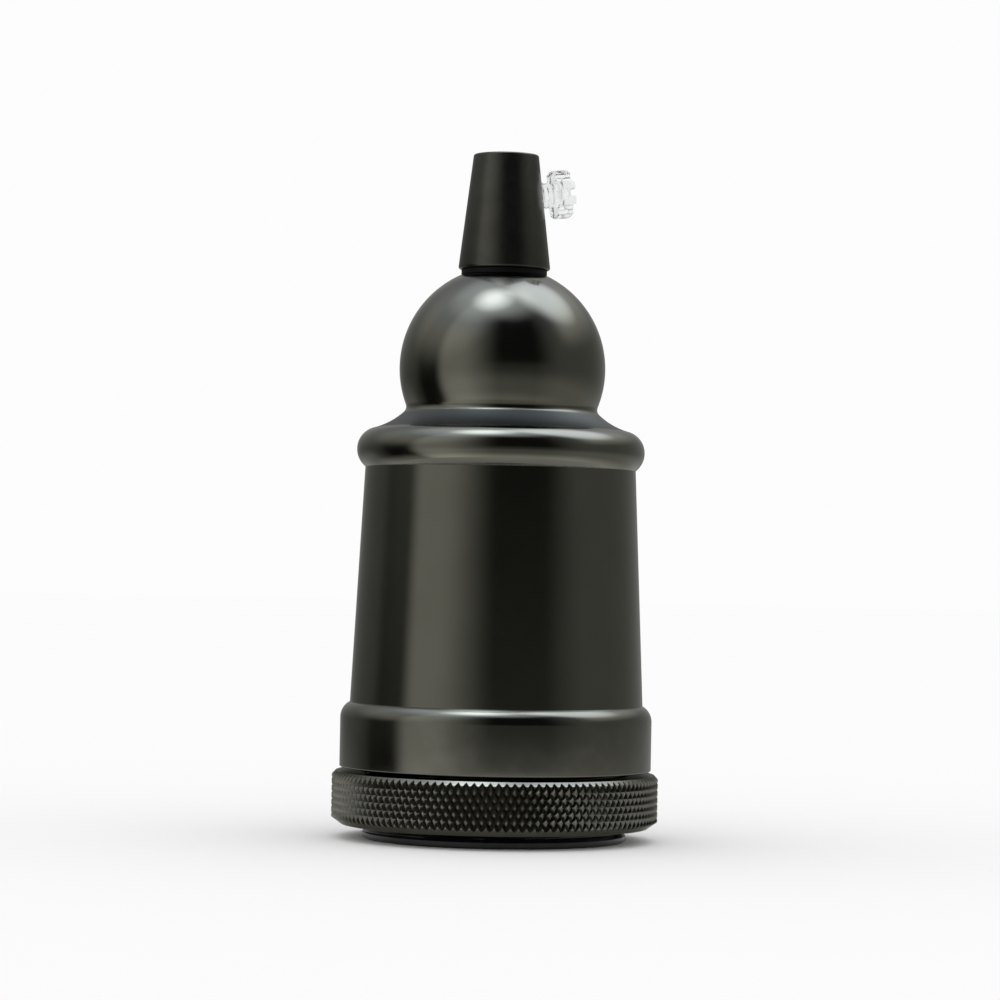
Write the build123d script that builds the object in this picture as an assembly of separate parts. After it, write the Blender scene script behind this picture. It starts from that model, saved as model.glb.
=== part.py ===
"""Pendant lamp holder for an Edison screw lamp, standing mouth down on its lower rim.

A ball-topped metal shell hangs on a hollow threaded nipple. A conical cord grip with a clear
thumb screw closes the top, and a knurled shade ring runs on the threaded sleeve at the mouth.
Inside are the porcelain core with its terminals, the screw shell and the centre contact.

Units are millimetres. The origin is the centre of the lower rim and +Z runs up the axis.
"""

import math
import os

from build123d import *

# Shade ring
ring_diameter = 49.0
ring_wall = 4.6
ring_height = 7.9
ring_top_chamfer_width = 0.55
ring_top_chamfer = 0.6
ring_bottom_chamfer_width = 1.4
ring_bottom_chamfer = 1.0
ring_lift = 2.1
ring_gap = 0.6
ring_thread_clearance = 0.1
knurl_pitch = 1.18
knurl_depth = 0.45
knurl_angle = 30.0

# Outside of the shell, from its foot up to its crown
barrel_foot_radius = 22.0
barrel_top_radius = 20.35
barrel_height = 35.315
foot_step = 1.4
foot_height = 7.4
shoulder_arc = 2.6
bead_step = 1.3
bead_crown = 2.15
bead_lower_arc = 3.4
bead_upper_arc = 3.3
cove_height = 3.0762
cove_arc = 11.0
ball_radius = 15.5
waist_drop = 6.214
crown_radius = 6.5

# Wall of the shell
shell_wall = 1.2
crown_wall = 1.8

# Cord grip, its washer and its thumb screw
grip_height = 17.4
grip_foot_radius = 6.95
grip_top_radius = 4.9
grip_lip = 1.2
grip_edge_round = 0.35
grip_thread_depth = 7.5
cord_bore_round = 0.35
washer_thickness = 0.85
washer_radius = 6.45
thumb_screw_height = 11.5
thumb_screw_azimuth = 21.0
thumb_screw_stand_off = 2.0
thumb_screw_radius = 2.0
thumb_tip_clearance = 0.13
thumb_head_radius = 3.65
thumb_head_thickness = 2.5
thumb_flute_radius = 0.95
thumb_flute_count = 4
thumb_slot_width = 1.1
thumb_slot_depth = 0.9
thumb_edge_round = 0.3

# Nipple with the nuts that clamp the shell and the bracket
nipple_radius = 5.0
nipple_bore_radius = 3.9
nipple_grip_length = 6.5
nipple_end_reach = 1.5
nipple_chamfer = 0.4
nut_across_flats = 14.0
nut_thickness = 3.0
nut_chamfer = 0.7
lock_washer_clearance = 0.24
lock_washer_thickness = 0.8
lock_washer_teeth = 12
lock_washer_tooth_depth = 1.1

# Small screws and rivets
small_screw_radius = 1.5
small_head_radius = 2.4
small_head_height = 1.8
small_slot_width = 0.7
small_slot_depth = 0.8
screw_clearance = 0.05
rivet_radius = 1.2
rivet_head_radius = 1.9
rivet_head_height = 0.6

# Bracket that carries the core below the nipple
bracket_thickness = 1.5
bracket_width = 13.0
bracket_height = 15.5
bracket_bend = 0.5
bracket_head_gap = 0.15
bracket_foot_margin = 0.5
bracket_foot_round = 4.5
earth_washer_size = 5.0
earth_washer_thickness = 0.6
earth_washer_gap = 0.2

# Sleeve, outside the thread and inside
sleeve_thread_depth = 0.65
sleeve_thread_pitch = 2.5
sleeve_rim_land = 0.9
sleeve_flange_thickness = 3.0
sleeve_flange_clearance = 0.1
sleeve_body_height = 20.4
sleeve_body_clearance = 1.3
mouth_step = 1.0
mouth_depth = 10.2
mouth_chamfer = 0.4

# Screw shell: round thread of 27 mm nominal size
screw_shell_radius = 13.6
screw_shell_sheet = 0.35
screw_shell_clearance = 0.15
screw_shell_gap = 0.4
lamp_thread_pitch = 3.629
lamp_thread_height = 1.1
lamp_thread_start = 1.6

# Core
core_margin = 0.2
core_thickness = 11.0
core_boss_radius = 8.6
core_boss_height = 2.4
core_boss_clearance = 0.6
core_pocket_clearance = 0.15
core_recess_depth = 2.0
core_recess_clearance = 0.5
core_edge_chamfer = 0.5
core_screw_depth = 11.0

# Terminals
terminal_offset = 8.8
terminal_width = 7.0
terminal_length = 7.4
terminal_height = 9.0
terminal_pocket_depth = 5.0
terminal_corner_chamfer = 0.4
wire_hole_radius = 1.3
wire_hole_lift = 0.1
terminal_screw_length = 3.4
terminal_screw_gap = 0.2

# Centre contact
live_rivet_offset = 6.5
shell_rivet_angles = (-90, 30, 150)
contact_width = 5.0
contact_thickness = 0.4
contact_play = 0.5
contact_root_margin = 1.9
contact_knee_reach = 4.0
contact_drop = 1.5
contact_pad_reach = 1.2
contact_lip_reach = 2.8
contact_lip_rise = 0.7
contact_bend = 0.5

# Radii worked out from the sizes above
ring_top_face_radius = ring_diameter / 2 - ring_top_chamfer_width
ring_bottom_face_radius = ring_diameter / 2 - ring_bottom_chamfer_width
ring_bore_radius = ring_diameter / 2 - ring_wall
sleeve_thread_radius = ring_bore_radius - ring_thread_clearance
foot_radius = barrel_foot_radius + foot_step
bead_radius = barrel_top_radius + bead_step
cove_foot_radius = bead_radius - bead_crown
waist_radius = math.sqrt(ball_radius**2 - waist_drop**2)
cord_bore_radius = grip_top_radius - grip_lip
thread_bore_radius = nipple_radius + screw_clearance
mouth_radius = screw_shell_radius + mouth_step
pocket_radius = screw_shell_radius + screw_shell_clearance
screw_shell_bore = screw_shell_radius - screw_shell_sheet
flange_bore_radius = core_boss_radius + core_boss_clearance
shell_rivet_offset = (flange_bore_radius + screw_shell_bore) / 2
knurl_columns = round(math.pi * ring_diameter / knurl_pitch)

# Heights worked out from the sizes above
foot_z = ring_lift + ring_height + ring_gap
shoulder_z = foot_z + foot_height
shoulder_centre = foot_radius - shoulder_arc
barrel_foot_z = shoulder_z + math.sqrt(shoulder_arc**2 - (barrel_foot_radius - shoulder_centre) ** 2)
barrel_top_z = barrel_foot_z + barrel_height
bead_lower_centre = bead_radius - bead_lower_arc
bead_upper_centre = bead_radius - bead_upper_arc
bead_z = barrel_top_z + math.sqrt(bead_lower_arc**2 - (barrel_top_radius - bead_lower_centre) ** 2)
cove_foot_z = bead_z + math.sqrt(bead_upper_arc**2 - (cove_foot_radius - bead_upper_centre) ** 2)
waist_z = cove_foot_z + cove_height
ball_z = waist_z + waist_drop
crown_z = ball_z + math.sqrt(ball_radius**2 - crown_radius**2)
crown_inside_z = crown_z - crown_wall
grip_foot_z = crown_z + washer_thickness
grip_top_z = grip_foot_z + grip_height
core_z = foot_z + sleeve_body_height
core_top_z = core_z + core_thickness
boss_z = core_z - core_boss_height
bracket_top_z = core_top_z + bracket_height
nipple_foot_z = bracket_top_z - bracket_thickness - nipple_end_reach
nipple_top_z = grip_foot_z + nipple_grip_length
screw_shell_foot = mouth_depth + screw_shell_gap
terminal_z = core_top_z - terminal_pocket_depth
terminal_top_z = terminal_z + terminal_height
wire_hole_z = core_top_z + wire_hole_radius + wire_hole_lift
contact_root_z = boss_z - contact_play - contact_thickness / 2

# Inside of the shell and what stands in it
ball_inside_radius = ball_radius - shell_wall
crown_inside_radius = math.sqrt(ball_inside_radius**2 - (crown_inside_z - ball_z) ** 2)
waist_inside_radius = waist_radius - shell_wall
waist_inside_z = ball_z - math.sqrt(ball_inside_radius**2 - waist_inside_radius**2)
lock_washer_radius = crown_inside_radius - lock_washer_clearance
barrel_slope = (barrel_foot_radius - barrel_top_radius) / barrel_height
barrel_at_core = barrel_foot_radius - barrel_slope * (core_z - barrel_foot_z)
sleeve_body_radius = barrel_at_core - shell_wall - sleeve_body_clearance
core_radius = sleeve_body_radius - core_margin
core_screw_offset = (pocket_radius + sleeve_body_radius) / 2
bracket_leg_reach = core_screw_offset - small_head_radius - bracket_head_gap - bracket_bend
bracket_foot_reach = core_radius - bracket_foot_margin
earth_screw_reach = nut_across_flats / 2 + earth_washer_gap + earth_washer_size / 2
contact_root_reach = live_rivet_offset + contact_root_margin


def tube(outer, inner, bottom, top):
    """A plain tube about the Z axis."""
    ring = Circle(outer) - Circle(inner)
    return extrude(Pos(0, 0, bottom) * ring, top - bottom)


def hex_nut(bottom):
    """A hexagon nut on the nipple, chamfered at its corners, with two flats facing along X."""
    corner = nut_across_flats / math.sqrt(3)
    top = bottom + nut_thickness
    blank = extrude(Pos(0, 0, bottom) * RegularPolygon(corner, 6, rotation=30), nut_thickness)
    turned = Pos(0, 0, bottom) * extrude(Circle(corner), nut_thickness)
    turned = chamfer(turned.edges(), nut_chamfer)
    return (blank & turned) - tube_hole(thread_bore_radius, bottom, top)


def tube_hole(radius, bottom, top, x=0.0, y=0.0):
    """A straight upright cutter."""
    return Pos(x, y, bottom) * extrude(Circle(radius), top - bottom)


def slotted_head(radius, height, x, y, bottom):
    """A round screw head with a driver slot."""
    head = Pos(x, y, bottom) * extrude(Circle(radius), height)
    head = chamfer(head.edges().group_by(Axis.Z)[-1], height * 0.2)
    slot = Pos(x, y, bottom + height) * Box(
        2.2 * radius, small_slot_width, 2 * small_slot_depth
    )
    return head - slot


def shell():
    """The ball-topped cover, one thin-walled turning with a hole at its crown."""
    outer_foot = Line((foot_radius, foot_z), (foot_radius, shoulder_z))
    shoulder = CenterArc(
        (shoulder_centre, shoulder_z),
        shoulder_arc,
        0,
        math.degrees(math.acos((barrel_foot_radius - shoulder_centre) / shoulder_arc)),
    )
    barrel = Line((barrel_foot_radius, barrel_foot_z), (barrel_top_radius, barrel_top_z))
    bead_lower_turn = math.degrees(math.acos((barrel_top_radius - bead_lower_centre) / bead_lower_arc))
    bead_lower = CenterArc((bead_lower_centre, bead_z), bead_lower_arc, -bead_lower_turn, bead_lower_turn)
    bead_upper_turn = math.degrees(math.acos((cove_foot_radius - bead_upper_centre) / bead_upper_arc))
    bead_upper = CenterArc((bead_upper_centre, bead_z), bead_upper_arc, 0, bead_upper_turn)
    cove = RadiusArc((cove_foot_radius, cove_foot_z), (waist_radius, waist_z), -cove_arc)
    ball = ThreePointArc((waist_radius, waist_z), (ball_radius, ball_z), (crown_radius, crown_z))
    crown = Polyline(
        (crown_radius, crown_z), (thread_bore_radius, crown_z), (thread_bore_radius, crown_inside_z)
    )
    inside = Polyline(
        (waist_inside_radius, waist_inside_z),
        (barrel_top_radius - shell_wall, bead_z),
        (barrel_top_radius - shell_wall, barrel_top_z),
        (barrel_foot_radius - shell_wall, barrel_foot_z),
        (foot_radius - shell_wall, shoulder_z),
        (foot_radius - shell_wall, foot_z),
        (foot_radius, foot_z),
    )
    inner_ball = ThreePointArc(
        (crown_inside_radius, crown_inside_z),
        (ball_inside_radius, ball_z),
        (waist_inside_radius, waist_inside_z),
    )
    inner_crown = Line(
        (thread_bore_radius, crown_inside_z), (crown_inside_radius, crown_inside_z)
    )
    outline = outer_foot + shoulder + barrel + bead_lower + bead_upper + cove + ball + crown
    outline = outline + inner_crown + inner_ball + inside
    section = make_face(Plane.XZ * outline)
    return revolve(section, Axis.Z)


def cord_grip():
    """Conical grip: threaded below for the nipple, bored above for the cord."""
    section = make_face(
        Plane.XZ
        * Polyline(
            (0, grip_foot_z),
            (grip_foot_radius, grip_foot_z),
            (grip_top_radius, grip_top_z),
            (0, grip_top_z),
            close=True,
        )
    )
    cone = revolve(section, Axis.Z)
    cone = fillet(cone.edges().filter_by(GeomType.CIRCLE), grip_edge_round)
    thread_top_z = grip_foot_z + grip_thread_depth
    cone -= tube_hole(thread_bore_radius, grip_foot_z, thread_top_z)
    cone -= tube_hole(cord_bore_radius, grip_foot_z, grip_top_z)
    rim = cone.edges().filter_by(GeomType.CIRCLE).group_by(Axis.Z)[-1].sort_by(SortBy.RADIUS)[0]
    cone = fillet(rim, cord_bore_round)
    hole = extrude(Circle(thumb_screw_radius + screw_clearance), grip_foot_radius)
    return cone - thumb_screw_place() * hole


def grip_taper():
    """Slope of the grip's side from the vertical, in degrees."""
    return math.degrees(math.atan((grip_foot_radius - grip_top_radius) / grip_height))


def thumb_screw_surface():
    """Distance along the thumb screw's axis from the grip's centre line to its side."""
    taper = math.radians(grip_taper())
    side_radius = grip_foot_radius - thumb_screw_height * math.tan(taper)
    return side_radius / math.cos(taper)


def thumb_screw_place():
    """Frame with its Z axis out along the thumb screw, square to the grip's side."""
    rise = thumb_screw_surface() * math.sin(math.radians(grip_taper()))
    origin_z = grip_foot_z + thumb_screw_height - rise
    return Pos(0, 0, origin_z) * Rot(0, 0, thumb_screw_azimuth) * Rot(0, 90 - grip_taper(), 0)


def thumb_screw():
    """Clear moulded screw with a fluted head and a coin slot."""
    under_head = thumb_screw_surface() + thumb_screw_stand_off
    head = extrude(Circle(thumb_head_radius), thumb_head_thickness)
    flutes = PolarLocations(
        thumb_head_radius + thumb_flute_radius / 8, thumb_flute_count, start_angle=45
    )
    head -= flutes * extrude(Circle(thumb_flute_radius), thumb_head_thickness)
    head = fillet(head.edges().group_by(Axis.Z)[-1], thumb_edge_round)
    slot = Pos(0, 0, thumb_head_thickness) * Box(
        thumb_slot_width, 2.2 * thumb_head_radius, 2 * thumb_slot_depth
    )
    head -= slot
    shank = extrude(Circle(thumb_screw_radius), cord_bore_radius + thumb_tip_clearance - under_head)
    shank = chamfer(shank.edges().group_by(Axis.Z)[0], nipple_chamfer)
    return thumb_screw_place() * Pos(0, 0, under_head) * (head + shank)


def grip_washer():
    """Thin black washer between the grip and the shell's crown."""
    return tube(washer_radius, thread_bore_radius, crown_z, grip_foot_z)


def nipple():
    """Hollow threaded tube that carries everything; its thread is left plain."""
    body = tube(nipple_radius, nipple_bore_radius, nipple_foot_z, nipple_top_z)
    middle_radius = (nipple_radius + nipple_bore_radius) / 2
    ends = body.edges().filter_by(GeomType.CIRCLE).filter_by(lambda edge: edge.radius > middle_radius)
    return chamfer(ends, nipple_chamfer)


def lock_washer():
    """Internally toothed washer between the shell and its nut."""
    top = crown_inside_z
    bottom = top - lock_washer_thickness
    washer = tube(lock_washer_radius, thread_bore_radius, bottom, top)
    tooth_space = math.pi * thread_bore_radius / lock_washer_teeth
    reach = thread_bore_radius + lock_washer_tooth_depth
    gap = Box(reach, tooth_space, 4 * lock_washer_thickness)
    return washer - Pos(0, 0, bottom) * PolarLocations(reach / 2, lock_washer_teeth) * gap


def edges_at(edges, corners):
    """Those of the edges that run through the given (x, z) corners."""
    found = ShapeList()
    for x, z in corners:
        found += [e for e in edges if abs(e.center().X - x) < 0.01 and abs(e.center().Z - z) < 0.01]
    return found


def bracket():
    """Bent strip: a top plate on the nipple, two legs, and feet that stand on the core."""
    half = [
        (0, bracket_top_z),
        (bracket_leg_reach, bracket_top_z),
        (bracket_leg_reach, core_top_z + bracket_thickness),
        (bracket_foot_reach, core_top_z + bracket_thickness),
        (bracket_foot_reach, core_top_z),
        (bracket_leg_reach - bracket_thickness, core_top_z),
        (bracket_leg_reach - bracket_thickness, bracket_top_z - bracket_thickness),
        (0, bracket_top_z - bracket_thickness),
    ]
    section = make_face(Plane.XZ * Polyline(*half, close=True))
    strip = extrude(section, bracket_width / 2, both=True)
    upright = strip.edges().filter_by(Axis.Y)
    inner_corners = [
        (bracket_leg_reach, core_top_z + bracket_thickness),
        (bracket_leg_reach - bracket_thickness, bracket_top_z - bracket_thickness),
    ]
    outer_corners = [
        (bracket_leg_reach, bracket_top_z),
        (bracket_leg_reach - bracket_thickness, core_top_z),
    ]
    strip = fillet(edges_at(upright, inner_corners), bracket_bend)
    upright = strip.edges().filter_by(Axis.Y)
    strip = fillet(edges_at(upright, outer_corners), bracket_bend + bracket_thickness)
    foot_ends = strip.edges().filter_by(Axis.Z).group_by(Axis.X)[-1]
    strip = fillet(foot_ends, bracket_foot_round)
    strip += mirror(strip, Plane.YZ)
    strip -= tube_hole(thread_bore_radius, nipple_foot_z, bracket_top_z + 1)
    strip -= tube_hole(small_screw_radius, nipple_foot_z, bracket_top_z + 1, x=earth_screw_reach)
    for side in (-1, 1):
        strip -= tube_hole(
            small_screw_radius + screw_clearance, core_z, bracket_top_z, x=side * core_screw_offset
        )
    return strip


def earth_washer():
    """Square clamp washer under the earth screw's head."""
    plate = Box(earth_washer_size, earth_washer_size, earth_washer_thickness)
    place = Pos(earth_screw_reach, 0, bracket_top_z + earth_washer_thickness / 2)
    hole = tube_hole(
        small_screw_radius + screw_clearance, bracket_top_z - 1, bracket_top_z + 2, x=earth_screw_reach
    )
    return place * plate - hole


def earth_screw():
    """Slotted screw in the bracket's top plate."""
    bottom = bracket_top_z + earth_washer_thickness
    tip_z = bracket_top_z - bracket_thickness - 1
    shank = tube_hole(small_screw_radius - screw_clearance, tip_z, bottom, x=earth_screw_reach)
    return shank + slotted_head(small_head_radius, small_head_height, earth_screw_reach, 0, bottom)


def core_screw(side):
    """Long screw through a bracket foot and the core into the sleeve."""
    bottom = core_top_z + bracket_thickness
    shank = tube_hole(small_screw_radius, core_z - core_screw_depth, bottom, x=side * core_screw_offset)
    return shank + slotted_head(
        small_head_radius, small_head_height, side * core_screw_offset, 0, bottom
    )


def core():
    """Porcelain disc with two terminal pockets and a boss for the centre contact."""
    body = tube_hole(core_radius, core_z, core_top_z)
    body = chamfer(body.edges().group_by(Axis.Z)[-1], core_edge_chamfer)
    body += tube_hole(core_boss_radius, boss_z, core_z)
    for side in (-1, 1):
        pocket = Box(
            terminal_width + 2 * core_pocket_clearance,
            terminal_length + 2 * core_pocket_clearance,
            2 * terminal_pocket_depth,
        )
        body -= Pos(0, side * terminal_offset, core_top_z) * pocket
        body -= tube_hole(
            small_screw_radius + screw_clearance, boss_z, core_top_z, x=side * core_screw_offset
        )
    rivet_hole = rivet_radius + screw_clearance
    body -= tube_hole(rivet_hole, boss_z, core_top_z, y=live_rivet_offset)
    for angle in shell_rivet_angles:
        body -= tube_hole(rivet_hole, boss_z, core_top_z, *shell_rivet_spot(angle))
    recess_end = contact_knee_reach + core_recess_clearance
    recess_length = recess_end + contact_lip_reach + 2 * core_recess_clearance
    recess = Box(contact_width + 2 * core_recess_clearance, recess_length, 2 * core_recess_depth)
    return body - Pos(0, recess_end - recess_length / 2, boss_z) * recess


def shell_rivet_spot(angle):
    """Place of a rivet through the screw shell's flange."""
    turn = math.radians(angle)
    return shell_rivet_offset * math.cos(turn), shell_rivet_offset * math.sin(turn)


def rivet(x, y, head_top, top, capped):
    """Rivet with its head below; capped ones are closed over the core's top as well."""
    shank = tube_hole(rivet_radius, head_top, top, x, y)
    head = tube_hole(rivet_head_radius, head_top - rivet_head_height, head_top, x, y)
    made = shank + head
    if capped:
        made += tube_hole(rivet_head_radius, top, top + rivet_head_height, x, y)
    return made


def strip_outline(line, thickness):
    """Closed outline of a bent strip with the given centre line, mitred at its bends."""
    left, right = [], []
    last = len(line) - 1
    for spot, (x, y) in enumerate(line):
        before = line[max(spot - 1, 0)]
        after = line[min(spot + 1, last)]
        turn_in = math.atan2(y - before[1], x - before[0]) if spot else None
        turn_out = math.atan2(after[1] - y, after[0] - x) if spot < last else turn_in
        turn_in = turn_out if turn_in is None else turn_in
        middle = (turn_in + turn_out) / 2
        reach = thickness / 2 / math.cos((turn_out - turn_in) / 2)
        left.append((x - reach * math.sin(middle), y + reach * math.cos(middle)))
        right.append((x + reach * math.sin(middle), y - reach * math.cos(middle)))
    return left + right[::-1]


def centre_contact():
    """Springy tongue that presses on the lamp's tip, cranked down from its riveted root."""
    pad_z = contact_root_z - contact_drop
    line = [
        (-contact_lip_reach, pad_z + contact_lip_rise),
        (-contact_pad_reach, pad_z),
        (contact_pad_reach, pad_z),
        (contact_knee_reach, contact_root_z),
        (contact_root_reach, contact_root_z),
    ]
    section = make_face(Plane.YZ * Polyline(*strip_outline(line, contact_thickness), close=True))
    strip = extrude(section, contact_width / 2, dir=(1, 0, 0), both=True)
    bends = strip.edges().filter_by(Axis.X).filter_by(
        lambda edge: contact_thickness - contact_lip_reach
        < edge.center().Y
        < contact_root_reach - contact_thickness
    )
    strip = fillet(bends, contact_bend)
    hole_radius = rivet_radius + 2 * screw_clearance
    return strip - tube_hole(hole_radius, contact_root_z - 1, contact_root_z + 1, y=live_rivet_offset)


def terminal(side):
    """Brass pillar terminal with a wire hole and a tapped hole from above."""
    y = side * terminal_offset
    block = Box(terminal_width, terminal_length, terminal_height)
    block = chamfer(block.edges().filter_by(Axis.Z), terminal_corner_chamfer)
    block = Pos(0, y, terminal_z + terminal_height / 2) * block
    wire_hole = Pos(0, y, wire_hole_z) * Rot(90, 0, 0) * Cylinder(wire_hole_radius, terminal_length)
    tapped = tube_hole(small_screw_radius, wire_hole_z, terminal_top_z, y=y)
    return block - wire_hole - tapped


def terminal_screw(side):
    """Slotted headless screw, backed off just clear of the wire hole."""
    y = side * terminal_offset
    tip_z = wire_hole_z + wire_hole_radius + terminal_screw_gap
    top_z = tip_z + terminal_screw_length
    screw = tube_hole(small_screw_radius - screw_clearance, tip_z, top_z, y=y)
    slot = Box(4 * small_screw_radius, small_slot_width, 2 * small_slot_depth)
    return screw - Pos(0, y, top_z) * slot


def sleeve():
    """Black moulded sleeve: thread and flange outside, mouth and screw shell pocket inside."""
    root = sleeve_thread_radius - sleeve_thread_depth
    outline = [(0, 0), (sleeve_thread_radius, 0), (sleeve_thread_radius, sleeve_rim_land)]
    grooves = int((foot_z - sleeve_rim_land) / sleeve_thread_pitch)
    quarter = sleeve_thread_pitch / 4
    for turn in range(grooves):
        z = sleeve_rim_land + turn * sleeve_thread_pitch
        outline += [(root, z + quarter), (root, z + 2 * quarter), (sleeve_thread_radius, z + 3 * quarter)]
        outline += [(sleeve_thread_radius, z + 4 * quarter)]
    flange_radius = foot_radius - shell_wall - sleeve_flange_clearance
    outline += [
        (sleeve_thread_radius, foot_z),
        (flange_radius, foot_z),
        (flange_radius, foot_z + sleeve_flange_thickness),
        (sleeve_body_radius, foot_z + sleeve_flange_thickness),
        (sleeve_body_radius, core_z),
        (0, core_z),
    ]
    blank = revolve(make_face(Plane.XZ * Polyline(*outline, close=True)), Axis.Z)
    blank -= tube_hole(mouth_radius, 0, mouth_depth)
    mouth = blank.edges().filter_by(GeomType.CIRCLE).group_by(Axis.Z)[0].sort_by(SortBy.RADIUS)[0]
    blank = chamfer(mouth, mouth_chamfer)
    blank -= tube_hole(pocket_radius, 0, core_z)
    for side in (-1, 1):
        blank -= tube_hole(
            small_screw_radius + screw_clearance,
            core_z - core_screw_depth - small_screw_radius,
            core_z,
            x=side * core_screw_offset,
        )
    return blank


def rolled_thread(section_radius, back):
    """Half-round bead on the lamp thread's helix, bulging inward, with a flat back outside."""
    turns = int((core_z - screw_shell_foot) / lamp_thread_pitch) - 1
    start_z = screw_shell_foot + lamp_thread_start
    path = Helix(
        lamp_thread_pitch, turns * lamp_thread_pitch, screw_shell_bore, center=(0, 0, start_z)
    )
    start = Plane(origin=path @ 0, x_dir=(1, 0, 0), z_dir=path % 0)
    half = Circle(section_radius) & Pos(back - section_radius, 0) * Rectangle(
        2 * section_radius, 2 * section_radius
    )
    return sweep(start * half, path=path, is_frenet=True)


def screw_shell():
    """Pressed sheet cup with a rolled thread, flanged inward at the top."""
    cup = tube(screw_shell_radius, screw_shell_bore, screw_shell_foot, core_z)
    cup += tube(screw_shell_radius, flange_bore_radius, core_z - screw_shell_sheet, core_z)
    cup += rolled_thread(lamp_thread_height, screw_shell_sheet / 2)
    cup -= rolled_thread(lamp_thread_height - screw_shell_sheet, screw_shell_sheet + 0.1)
    for angle in shell_rivet_angles:
        spot = shell_rivet_spot(angle)
        cup -= tube_hole(rivet_radius + screw_clearance, core_z - screw_shell_sheet, core_z, *spot)
    return cup


def ring_point(half_step, radius, z):
    """A point on the ring, half a knurl column further round for each half step."""
    angle = half_step * math.pi / knurl_columns
    return Vector(radius * math.cos(angle), radius * math.sin(angle), z)


def triangle(a, b, c):
    return Face(Wire.make_polygon([a, b, c], close=True))


def shade_ring():
    """Knurled ring: pyramids between two crossed sets of grooves, cut off by two chamfers."""
    peak = ring_diameter / 2
    top_z = ring_lift + ring_height
    low_z = ring_lift + ring_bottom_chamfer
    high_z = top_z - ring_top_chamfer
    diamond_height = knurl_pitch / math.tan(math.radians(knurl_angle))
    rows = max(2, round(2 * (high_z - low_z) / diamond_height))
    around = 2 * knurl_columns
    border_shift = {
        0: -knurl_depth * ring_bottom_chamfer / ring_bottom_chamfer_width,
        rows: knurl_depth * ring_top_chamfer / ring_top_chamfer_width,
    }

    def corner(half_step, level):
        """Peaks and groove crossings take turns; at the borders the crossings lie on the chamfer."""
        z = low_z + (high_z - low_z) * level / rows
        if (half_step + level) % 2:
            return ring_point(half_step % around, peak, z)
        return ring_point(half_step % around, peak - knurl_depth, z + border_shift.get(level, 0))

    faces = []
    for level in range(rows):
        for h in range(around):
            near, far = (level, level + 1) if (h + level) % 2 else (level + 1, level)
            for side in (-1, 1):
                faces.append(triangle(corner(h, near), corner(h + side, near), corner(h, far)))
    for level, z, radius in ((0, ring_lift, ring_bottom_face_radius), (rows, top_z, ring_top_face_radius)):
        rim = [ring_point(h, radius, z) for h in range(around)]
        faces.append(Face(Wire.make_polygon(rim, close=True)))
        for h in range(around):
            after = rim[(h + 1) % around]
            faces.append(triangle(corner(h, level), corner(h + 1, level), rim[h]))
            faces.append(triangle(corner(h + 1, level), after, rim[h]))
    return Solid(Shell(faces)) - tube_hole(ring_bore_radius, ring_lift, top_z)


def make_pieces():
    """Every separate piece of the lamp holder, by name."""
    neutral_spot, right_spot, left_spot = [shell_rivet_spot(angle) for angle in shell_rivet_angles]
    contact_under_z = contact_root_z - contact_thickness / 2
    flange_z = core_z - screw_shell_sheet
    return {
        "shell": shell(),
        "cord_grip": cord_grip(),
        "grip_washer": grip_washer(),
        "thumb_screw": thumb_screw(),
        "nipple": nipple(),
        "lock_washer": lock_washer(),
        "shell_nut": hex_nut(crown_inside_z - lock_washer_thickness - nut_thickness),
        "bracket_nut": hex_nut(bracket_top_z),
        "bracket": bracket(),
        "earth_washer": earth_washer(),
        "earth_screw": earth_screw(),
        "core_screw_left": core_screw(-1),
        "core_screw_right": core_screw(1),
        "core": core(),
        "live_terminal": terminal(1),
        "live_terminal_screw": terminal_screw(1),
        "neutral_terminal": terminal(-1),
        "neutral_terminal_screw": terminal_screw(-1),
        "live_rivet": rivet(0, live_rivet_offset, contact_under_z, terminal_z, False),
        "neutral_rivet": rivet(*neutral_spot, flange_z, terminal_z, False),
        "shell_rivet_left": rivet(*left_spot, flange_z, core_top_z, True),
        "shell_rivet_right": rivet(*right_spot, flange_z, core_top_z, True),
        "centre_contact": centre_contact(),
        "screw_shell": screw_shell(),
        "sleeve": sleeve(),
        "shade_ring": shade_ring(),
    }


os.makedirs("parts", exist_ok=True)
for name, piece in make_pieces().items():
    export_step(piece, f"parts/{name}.step")
    size = piece.bounding_box().size
    print(f"{name}: {len(piece.solids())} solid, {piece.volume:.1f} mm3, {size.X:.2f} {size.Y:.2f} {size.Z:.2f}")
print(f"overall height {grip_top_z:.3f}")
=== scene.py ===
"""Look of the pendant lamp holder.

The outside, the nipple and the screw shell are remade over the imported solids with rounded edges,
knurling and threads; the other fittings inside keep their solids. Sizes are in millimetres and
MM turns them into metres.
"""

import math

import bmesh
import bpy
from mathutils import Matrix, Vector


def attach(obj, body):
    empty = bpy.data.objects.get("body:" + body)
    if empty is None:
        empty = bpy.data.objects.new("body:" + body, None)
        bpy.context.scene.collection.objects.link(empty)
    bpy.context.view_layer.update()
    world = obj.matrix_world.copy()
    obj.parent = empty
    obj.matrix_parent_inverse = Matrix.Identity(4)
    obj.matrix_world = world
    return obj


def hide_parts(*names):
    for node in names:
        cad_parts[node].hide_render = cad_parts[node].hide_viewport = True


MM = 0.001
TURN = 2 * math.pi

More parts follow.
